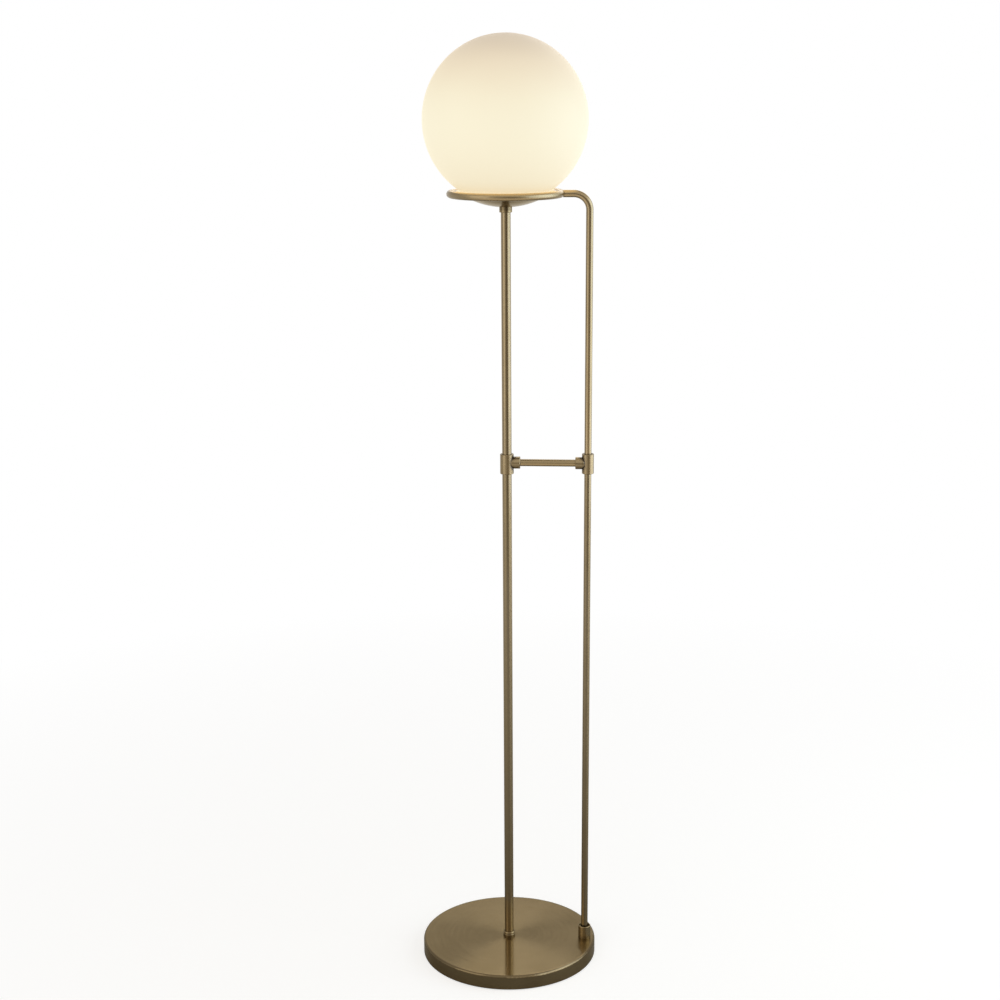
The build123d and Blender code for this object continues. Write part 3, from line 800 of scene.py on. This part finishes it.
# The lampholder: a cap with finger ribs, and a shell with a coarse thread outside and the
# bulb's thread inside.
holder = {
    "foot": 0.014, "cone": 0.007, "wall": 0.002, "ledge": 0.010, "ledgeWidth": 0.0025, "floor": 0.004,
    "nippleHole": 0.00505, "ribs": 36, "ribDepth": 0.00035, "ribMargin": 0.0015, "ribFade": 0.0005,
    "round": 0.0006, "innerMargin": 0.002, "innerRun": 0.004, "outerRun": 0.003,
    "pitch": 0.00362, "innerDepth": 0.00035, "outerPitch": 0.0025, "outerDepth": 0.0003,
    "plainFoot": 0.009, "plainTop": 0.0035, "bore": 0.0142, "edge": 0.001, "columns": 180, "threadRows": 96,
}


def addHolderCap():
    low, high = reach("holder_cap")
    outer, foot, top = high[0], low[2], high[2]
    edge, pocket = holder["round"], outer - holder["wall"]
    ribStart, ribEnd = foot + holder["cone"] + holder["ribMargin"], top - holder["ribMargin"]
    fade, hair = holder["ribFade"], 1e-5
    section = softSection([
        (holder["nippleHole"], foot, crisp), (holder["foot"], foot, edge),
        (outer, foot + holder["cone"], edge), (outer, ribStart, 0), (outer, ribStart + fade, 0),
        (outer, ribEnd - fade, 0), (outer, ribEnd, 0),
        (outer, top, soft), (pocket, top, soft), (pocket, foot + holder["ledge"], soft),
        (pocket - holder["ledgeWidth"], foot + holder["ledge"], crisp),
        (pocket - holder["ledgeWidth"], foot + holder["floor"], crisp),
        (holder["nippleHole"], foot + holder["floor"], crisp),
    ])
    points = turned(section, holder["ribs"] * 8)
    angle = np.arctan2(points[..., 1], points[..., 0])
    between = (points[..., 2] > ribStart + hair) & (points[..., 2] < ribEnd - hair)
    onRibs = between & (section[:, :1] > outer - hair)
    sink = holder["ribDepth"] * (0.5 - 0.5 * np.cos(holder["ribs"] * angle)) * onRibs / outer
    points[..., :2] *= 1 - sink[..., None]
    addPiece("holderCap", points, plain["blackPlastic"], ["holder_cap"], "holder_plastic")


def addHolderShell():
    low, high = reach("holder_shell")
    outer, bore, edge = high[0], holder["bore"], holder["edge"]
    start, end = low[2] + holder["plainFoot"], high[2] - holder["plainTop"]
    rows = np.linspace(start, end, holder["threadRows"])
    margin = holder["innerMargin"]
    inner = np.linspace(high[2] - margin, low[2] + margin, holder["threadRows"])
    section = softSection([
        (outer, low[2], soft), *((outer, at, 0) for at in rows), (outer, high[2], edge),
        (bore, high[2], edge / 2), *((bore, at, 0) for at in inner), (bore, low[2], soft),
    ])
    points = turned(section, holder["columns"])
    height = section[:, 1:]
    columns = holder["columns"]
    coarse = threadSwing(height, columns, holder["outerPitch"], start, end, holder["outerRun"])
    ends = (low[2] + margin, high[2] - margin)
    fine = threadSwing(height, columns, holder["pitch"], *ends, holder["innerRun"])
    outside = section[:, :1] > (outer + bore) / 2
    outerSink = (1 - coarse) * holder["outerDepth"] / outer
    innerSink = (1 - fine) * holder["innerDepth"] / bore
    sink = np.where(outside, outerSink, innerSink)
    points[..., :2] *= (1 - sink)[..., None]
    addPiece("holderShell", points, plain["blackPlastic"], ["holder_shell"], "holder_plastic")


addHolderCap()
addHolderShell()
print("lampholder moulded")


# The bulb: a solder tip, a glass cone, a threaded sheet shell, a ribbed housing and a dome.
bulb = {
    "tip": 0.005, "tipDome": 0.0012, "coneRise": 0.004, "plug": 0.0116, "plugRise": 0.002, "sheet": 0.0005,
    "pitch": 0.00362, "threadDepth": 0.0008, "plainFoot": 0.0015, "plainTop": 0.003, "shellRows": 140,
    "neck": 0.0134, "neckRise": 0.008, "plugLength": 0.007, "wall": 0.0016, "ledge": 0.003,
    "ribs": 30, "ribDepth": 0.00045, "flareLean": 0.4, "flareRows": 40, "rimBand": 0.002,
    "domeWall": 0.0012, "tipFlat": 0.45, "tipRound": 0.0005, "coneStep": 0.0006, "threadRun": 0.002,
    "curlHeight": 0.003, "curlDepth": 0.0006, "firstRow": 0.0006, "lastRow": 0.0004, "columns": 180,
    "tipColumns": 64, "coneColumns": 96,
}


def addBulbFoot():
    low, high = reach("bulb_tip")
    dome = bulb["tipDome"]
    section = softSection([
        (0, low[2], 0), (bulb["tip"] * bulb["tipFlat"], low[2], dome),
        (bulb["tip"], low[2] + dome, bulb["tipRound"]),
        (bulb["tip"], high[2], crisp), (0, high[2], 0),
    ])
    points = turned(section, bulb["tipColumns"])
    addPiece("bulbTip", points, plain["nickel"], ["bulb_tip"], "nickel_plate", "bulb", wrapRows=False)
    low, high = reach("bulb_insulator")
    shoulder = high[2] - bulb["plugRise"]
    middle = (bulb["tip"] + bulb["plug"]) / 2
    section = softSection([
        (0, low[2], 0), (bulb["tip"] + crisp, low[2], soft),
        (middle - bulb["coneStep"], low[2] + bulb["coneRise"] * 0.5, 0.0004),
        (middle, low[2] + bulb["coneRise"] * 0.42, soft), (bulb["plug"], shoulder, 0.0005),
        (bulb["plug"], high[2], crisp), (0, high[2], 0),
    ])
    points = turned(section, bulb["coneColumns"])
    glass = plain["blackGlass"]
    addPiece("bulbGlassCone", points, glass, ["bulb_insulator"], "bulb_glass", "bulb", wrapRows=False)


def addBulbShell():
    low, high = reach("bulb_screw_shell")
    outer = high[0]
    start, end = low[2] + bulb["plainFoot"], high[2] - bulb["plainTop"]
    rows = np.linspace(low[2] + bulb["firstRow"], high[2] - bulb["lastRow"], bulb["shellRows"])
    inside = outer - bulb["sheet"]
    section = softSection([
        (outer, low[2], crisp), *((outer, at, 0) for at in rows), (outer, high[2], crisp),
        (inside, high[2], crisp), *((inside, at, 0) for at in rows[::-1]), (inside, low[2], crisp),
    ], 4)
    points = turned(section, bulb["columns"])
    height = section[:, 1:]
    swing = threadSwing(height, bulb["columns"], bulb["pitch"], start, end, bulb["threadRun"])
    curl = np.clip((low[2] + bulb["curlHeight"] - height) / bulb["curlHeight"], 0, 1) ** 2
    sink = (bulb["threadDepth"] * (0.5 - 0.5 * swing) + bulb["curlDepth"] * curl) / outer
    points[..., :2] *= (1 - sink)[..., None]
    addPiece("bulbScrewShell", points, plain["nickel"], ["bulb_screw_shell"], "nickel_plate", "bulb")


# The flare runs on a cubic curve: (1-t)^3 a + 3t(1-t)^2 b + 3t^2(1-t) c + t^3 d.
def cubic(a, b, c, d, count):
    t = np.linspace(0, 1, count)[:, None]
    return (1 - t) ** 3 * a + 3 * t * (1 - t) ** 2 * b + 3 * t ** 2 * (1 - t) * c + t ** 3 * d


def addBulbHousing():
    low, high = reach("bulb_housing")
    outer, rim = high[0], high[2]
    foot = low[2] + bulb["plugLength"]
    neckTop = foot + bulb["neckRise"]
    rise = rim - neckTop
    lean = np.array([bulb["flareLean"], 1.0])
    outsideTop = np.array([outer, rim - bulb["rimBand"]])
    outside = cubic(
        np.array([bulb["neck"], neckTop]), np.array([bulb["neck"], neckTop + rise / 3]),
        outsideTop - lean * rise / 3, outsideTop, bulb["flareRows"],
    )
    insideTop = np.array([outer - bulb["wall"] - bulb["ledge"], rim - bulb["ledge"]])
    inside = cubic(
        insideTop, insideTop - lean * rise / 3,
        np.array([bulb["neck"] - bulb["wall"], neckTop + rise / 3]),
        np.array([bulb["neck"] - bulb["wall"], neckTop]), bulb["flareRows"],
    )
    plug, bore = bulb["plug"], bulb["plug"] - bulb["wall"]
    ledge = outer - bulb["wall"]
    below = [
        (bore, low[2]), (plug - crisp, low[2]), (plug, low[2] + crisp), (plug, foot - crisp / 2),
        (plug + crisp / 2, foot), (bulb["neck"] - soft, foot), (bulb["neck"], foot + soft),
    ]
    above = [(outer, rim - soft), (outer - soft, rim), (ledge, rim), (ledge, rim - bulb["ledge"])]
    section = np.concatenate([below, outside, above, inside, [(bore, foot)]])
    points = turned(section, bulb["ribs"] * 8)
    angle = np.arctan2(points[..., 1], points[..., 0])
    share = np.clip((section[:, 1] - neckTop) / rise, 0, 1)
    onOutside = np.zeros(len(section))
    flare = slice(len(below), len(below) + bulb["flareRows"])
    onOutside[flare] = np.sin(np.pi * share[flare]) ** 0.5
    ribs = (0.5 - 0.5 * np.cos(bulb["ribs"] * angle)) ** 3
    sink = bulb["ribDepth"] * ribs * onOutside[:, None] / section[:, :1]
    points[..., :2] *= (1 - sink)[..., None]
    addPiece("bulbHousing", points, plain["whitePlastic"], ["bulb_housing"], "bulb_plastic", "bulb")


def addBulbDome():
    low, high = reach("bulb_diffuser")
    radius = high[0]
    centre = (0.0, high[2] - radius)
    inside = radius - bulb["domeWall"]
    drop = low[2] - centre[1]
    section = np.concatenate([
        arcPoints(centre, radius, quarterTurn, np.arcsin(drop / radius), 60),
        arcPoints(centre, inside, np.arcsin(drop / inside), quarterTurn, 60),
    ])
    section[[0, -1], 0] = 0
    points = turned(section, bulb["columns"])
    addPiece("bulbDome", points, lampLight(), ["bulb_diffuser"], "bulb_light", "bulb", wrapRows=False)


addBulbFoot()
addBulbShell()
addBulbHousing()
addBulbDome()
print("bulb made")


# The cord bush: a flanged sleeve turned round a line along Y, with a raised lip at its mouth.
bush = {
    "neck": 0.0045, "bore": 0.0035, "outerFlange": 0.0017, "innerFlange": 0.0030,
    "flangeRound": 0.0005, "lipOutside": 0.0009, "lipTop": 0.0007, "lipFall": 0.0004, "columns": 72,
}


def addBush():
    low, high = reach("cord_bush")
    flange, bore, edge = high[0], bush["bore"], bush["flangeRound"]
    back, front = high[1] - bush["outerFlange"], low[1] + bush["innerFlange"]
    section = softSection([
        (bore, low[1], soft), (flange, low[1], edge), (flange, front, soft), (bush["neck"], front, crisp),
        (bush["neck"], back, crisp), (flange, back, crisp), (flange, high[1] - edge, edge),
        (bore + bush["lipOutside"], high[1] - bush["lipFall"], soft),
        (bore + bush["lipTop"], high[1], crisp), (bore, high[1], soft),
    ])
    points = turnedAlongY(section, bush["columns"], (low[2] + high[2]) / 2)
    addPiece("cordBush", points, plain["blackPlastic"], ["cord_bush"], "bush_plastic")


addBush()


# The nodes that keep their own mesh.
slotFinish = {
    "plain_brass": plain["machinedBrass"],
    "zinc_steel": plain["zincPlate"],
    "cast_weight": plain["castIron"],
    "felt": plain["feltPad"],
    "silicone": plain["silicone"],
    "holder_ceramic": plain["ceramic"],
    "board": plain["boardPaint"],
    "antique_brass": brassFinish["cast"],
    "holder_plastic": plain["blackPlastic"],
    "bush_plastic": plain["blackPlastic"],
    "nickel_plate": plain["nickel"],
    "bulb_plastic": plain["whitePlastic"],
    "bulb_glass": plain["blackGlass"],
}
nodeFinish = {"base_cover": brassFinish["spun"]}


def finishNodes():
    for row in frame["record"]["subparts"]:
        finish = nodeFinish.get(row["node"], slotFinish.get(row["material_slot"]))
        if finish is None:
            continue
        for place in frame["nodes"][row["node"]].material_slots:
            place.link = "OBJECT"
            place.material = finish


finishNodes()
print("nodes finished")


# The studio: a pale floor on a white ground, a white backdrop behind the lamp, a dimmer room
# before it with one dark corner that gives the metal its stripe, and soft boxes.
studio = {
    "floorRadius": 2.4,
    "floorSides": 96,
    "floorDrop": 0.0006,  # below the pad, so that the two don't lie in one plane
    "floorTone": (0.50, 0.49, 0.475, 1),
    "floorFill": 0.68,  # what the camera adds to the floor, beside its own light
    "seenFade": (0.4, 2.0),  # where the floor begins to turn white, and where it is white
    "mirroredFade": (0.28, 2.1),  # the same in the metal
    "white": (1.0, 1.0, 1.0, 1),
    "behindFrom": (-0.25, 0.35),  # where the room before the lamp turns into the white one behind
    "room": (0.85, 0.83, 0.79, 1),
    "ceilingFront": (1.30, 1.26, 1.18, 1),
    "ceilingBack": (0.76, 0.74, 0.71, 1),
    "ceilingFrom": (0.10, 0.36),  # sines of the heights where the ceiling begins and is full
    "dark": (0.28, 0.24, 0.18, 1),
    "darkToward": 17,  # degrees from straight before the lamp to its right
    "darkWidth": (10, 28),
    "dim": 0.42,  # share of the room's light that matt surfaces get
}


# Which ray asks: 1 for the camera's own, and 1 for one in gloss or through glass.
def askingRay(tree):
    path = tree.nodes.new("ShaderNodeLightPath")
    mirrored = calc(tree, "ADD", path.outputs["Is Glossy Ray"], path.outputs["Is Transmission Ray"])
    return path.outputs["Is Camera Ray"], mirrored


def addFloor():
    sides = studio["floorSides"]
    angle = np.linspace(0, fullTurn, sides, endpoint=False)
    outline = studio["floorRadius"] * np.stack([np.cos(angle), np.sin(angle)], axis=1)
    rim = np.concatenate([outline, np.full((sides, 1), -studio["floorDrop"])], axis=1)
    mesh = bpy.data.meshes.new("floor")
    mesh.from_pydata(rim.tolist(), [], [list(range(sides))])
    floor = bpy.data.objects.new("floor", mesh)
    scene.collection.objects.link(floor)
    material = bpy.data.materials.new("floorPaint")
    material.use_nodes = True
    tree = material.node_tree
    tree.nodes.clear()
    place = wire(tree, "TexCoord", output="Object")
    distance = wire(tree, "VectorMath", {0: place}, output="Value", operation="LENGTH")
    seen, mirrored = askingRay(tree)
    farSeen = calc(tree, "MULTIPLY", remap(tree, distance, *studio["seenFade"], 0, 1), seen)
    farMirrored = calc(tree, "MULTIPLY", remap(tree, distance, *studio["mirroredFade"], 0, 1), mirrored)
    fill = calc(tree, "MULTIPLY", seen, studio["floorFill"])
    matt = wire(tree, "BsdfDiffuse", {"Color": studio["floorTone"]})
    near = wire(tree, "AddShader", {0: matt, 1: wire(tree, "Emission", {"Strength": fill})})
    white = wire(tree, "Emission", {"Strength": 1.0})
    surface = wire(tree, "MixShader", {0: calc(tree, "ADD", farSeen, farMirrored), 1: near, 2: white})
    out = tree.nodes.new("ShaderNodeOutputMaterial")
    tree.links.new(surface, out.inputs[0])
    mesh.materials.append(material)


def addWorld():
    world = bpy.data.worlds.new("studioWorld")
    world.use_nodes = True
    scene.world = world
    tree = world.node_tree
    tree.nodes.clear()
    asked, mirrored = askingRay(tree)
    toward = wire(tree, "TexCoord", output="Generated")
    y, z = separate(tree, toward)[1:]
    behind = step(tree, y, *studio["behindFrom"])
    room = mixColour(tree, behind, studio["room"], studio["white"])
    ceiling = mixColour(tree, behind, studio["ceilingFront"], studio["ceilingBack"])
    aside = np.radians(studio["darkToward"])
    facing = wire(tree, "VectorMath", {
        0: wire(tree, "VectorMath", {0: stretched(tree, toward, (1, 1, 0))}, operation="NORMALIZE"),
        1: (np.sin(aside), -np.cos(aside), 0),
    }, output="Value", operation="DOT_PRODUCT")
    inner, outer = np.cos(np.radians(studio["darkWidth"]))
    room = mixColour(tree, step(tree, facing, outer, inner), room, studio["dark"])
    room = mixColour(tree, step(tree, z, *studio["ceilingFrom"]), room, ceiling)
    level = calc(tree, "MULTIPLY_ADD", mirrored, 1 - studio["dim"], studio["dim"])
    seen = wire(tree, "Background", {"Color": studio["white"], "Strength": 1.0})
    felt = wire(tree, "Background", {"Color": room, "Strength": level})
    surface = wire(tree, "MixShader", {0: asked, 1: felt, 2: seen})
    out = tree.nodes.new("ShaderNodeOutputWorld")
    tree.links.new(surface, out.inputs[0])


# name: place, the point it faces, width, height, watts, colour, whether gloss and matt see it
softBoxes = {
    "leftBox": ((-1.75, -1.55, 1.35), (0, 0, 1.0), 1.7, 2.2, 15, (1.0, 0.99, 0.96), (True, False)),
    "rightBox": ((1.95, 0.25, 1.35), (0, 0, 1.0), 2.0, 2.2, 18, (0.72, 0.88, 1.0), (True, True)),
    "edgeBox": ((1.96, -0.42, 1.60), (0, 0, 1.25), 2.5, 1.7, 34, (0.64, 0.81, 1.0), (True, False)),
    "lowEdgeBox": ((1.96, -0.42, 0.50), (0, 0, 0.15), 2.5, 0.5, 10, (0.82, 0.90, 1.0), (True, False)),
    "frontBox": ((-0.9, -2.4, 2.2), (0, 0, 0.9), 1.6, 1.6, 12, (1.0, 0.99, 0.96), (False, True)),
    "backBox": ((0.35, 1.5, 1.95), (0, 0, 0), 1.9, 1.2, 11, (1.0, 0.97, 0.92), (True, False)),
    "lowCard": ((0, -0.85, 0.52), (0, -0.84, 1.5), 2.2, 1.6, 10, (1.0, 0.88, 0.70), (True, False)),
    "teeCard": ((0, -0.85, 0.52), (0, -0.84, 1.5), 2.2, 1.6, 3.5, (1.0, 0.88, 0.70), (True, False)),
}


# Each box is a flat lamp whose axes are worked out from the way to the point that it faces.
def addSoftBoxes():
    for name, (place, target, width, height, watts, colour, (onGloss, onMatt)) in softBoxes.items():
        light = bpy.data.lights.new(name, "AREA")
        light.shape = "RECTANGLE"
        light.size, light.size_y = width, height
        light.energy = watts
        light.color = colour
        lamp = bpy.data.objects.new(name, light)
        ahead = np.array(target, dtype=float) - place
        ahead /= np.linalg.norm(ahead)
        right = np.cross(ahead, (0, 0, 1.0))
        right /= np.linalg.norm(right)
        axes = np.stack([right, np.cross(right, ahead), -ahead], axis=1)
        lamp.matrix_world = Matrix.Translation(place) @ Matrix(axes.tolist()).to_4x4()
        lamp.visible_camera = False
        lamp.visible_glossy = onGloss
        lamp.visible_diffuse = onMatt
        scene.collection.objects.link(lamp)


# The cards stand for the floor's bright reflection in the level pieces, and light no others.
cardPieces = {"lowCard": ("crossRod", "ringRod", "sideRodBent"), "teeCard": ("main_tee", "side_tee")}


def limitCards():
    for name, pieces in cardPieces.items():
        lit = bpy.data.collections.new(name + "Pieces")
        for piece in pieces:
            lit.objects.link(frame["nodes"].get(piece) or bpy.data.objects[piece])
        bpy.data.objects[name].light_linking.receiver_collection = lit


# The glow that the globe throws on the metal round it: a ball of light just outside the glass,
# which leaves the glass itself out.
globeGlow = {"watts": 0.95, "colour": (1.0, 0.80, 0.50), "gap": 0.0005}


def addGlow():
    light = bpy.data.lights.new("globeGlow", "POINT")
    light.energy = globeGlow["watts"]
    light.color = globeGlow["colour"]
    light.shadow_soft_size = globeRadius + globeGlow["gap"]
    light.use_soft_falloff = False
    lamp = bpy.data.objects.new("globeGlow", light)
    lamp.location = (0, 0, globeHeight)
    lamp.visible_camera = False
    scene.collection.objects.link(lamp)
    spared = bpy.data.collections.new("sparedByGlow")
    spared.objects.link(bpy.data.objects["globeGlass"])
    spared.collection_objects[0].light_linking.link_state = "EXCLUDE"
    lamp.light_linking.receiver_collection = spared
    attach(lamp, "globe")


addFloor()
addWorld()
addSoftBoxes()
limitCards()
addGlow()
print("studio lit")
